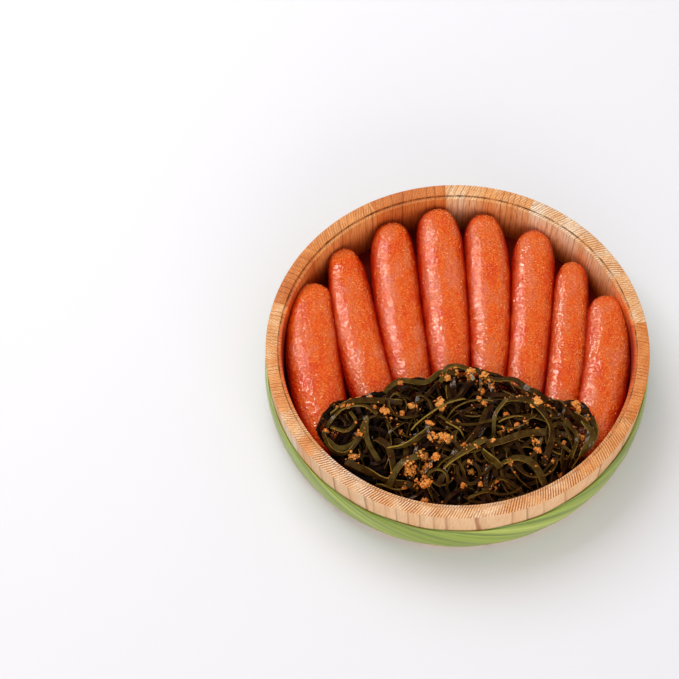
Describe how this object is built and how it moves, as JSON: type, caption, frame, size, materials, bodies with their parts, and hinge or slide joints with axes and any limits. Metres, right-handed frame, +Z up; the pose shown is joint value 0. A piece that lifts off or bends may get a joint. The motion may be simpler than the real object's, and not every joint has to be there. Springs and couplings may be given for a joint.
{
  "type": "mentaiko in a round wooden tub",
  "caption": "Round coopered cedar tub holding fanned spicy cod roe sacs and a heap of shredded kombu with roe crumbs, bound by a twisted green hoop.",
  "frame": {"origin": "centre of the tub's foot, on the surface it stands on", "axes": "+Z up out of the tub, +Y towards the back, where the roe sacs fan out, and -Y towards the kombu"},
  "size_m": [0.2014, 0.2014, 0.038],
  "materials": {
    "cedar": "planed, with saw marks on the end grain",
    "cedar_board": "planed",
    "hoop": "smooth split green bamboo",
    "roe": "wet, grainy roe under a thin skin",
    "kombu": "wet shredded kelp with roe crumbs"
  },
  "bodies": {
    "root": {"stave_01": "cedar", "stave_02": "cedar", "stave_03": "cedar", "stave_04": "cedar", "stave_05": "cedar", "stave_06": "cedar", "stave_07": "cedar", "stave_08": "cedar", "stave_09": "cedar", "stave_10": "cedar", "stave_11": "cedar", "stave_12": "cedar", "stave_13": "cedar", "stave_14": "cedar", "stave_15": "cedar", "stave_16": "cedar", "bottom_board": "cedar_board", "hoop": "hoop", "roe_sac_1": "roe", "roe_sac_2": "roe", "roe_sac_3": "roe", "roe_sac_4": "roe", "roe_sac_5": "roe", "roe_sac_6": "roe", "roe_sac_7": "roe", "roe_sac_8": "roe", "kombu_heap": "kombu"}
  },
  "joints": []
}
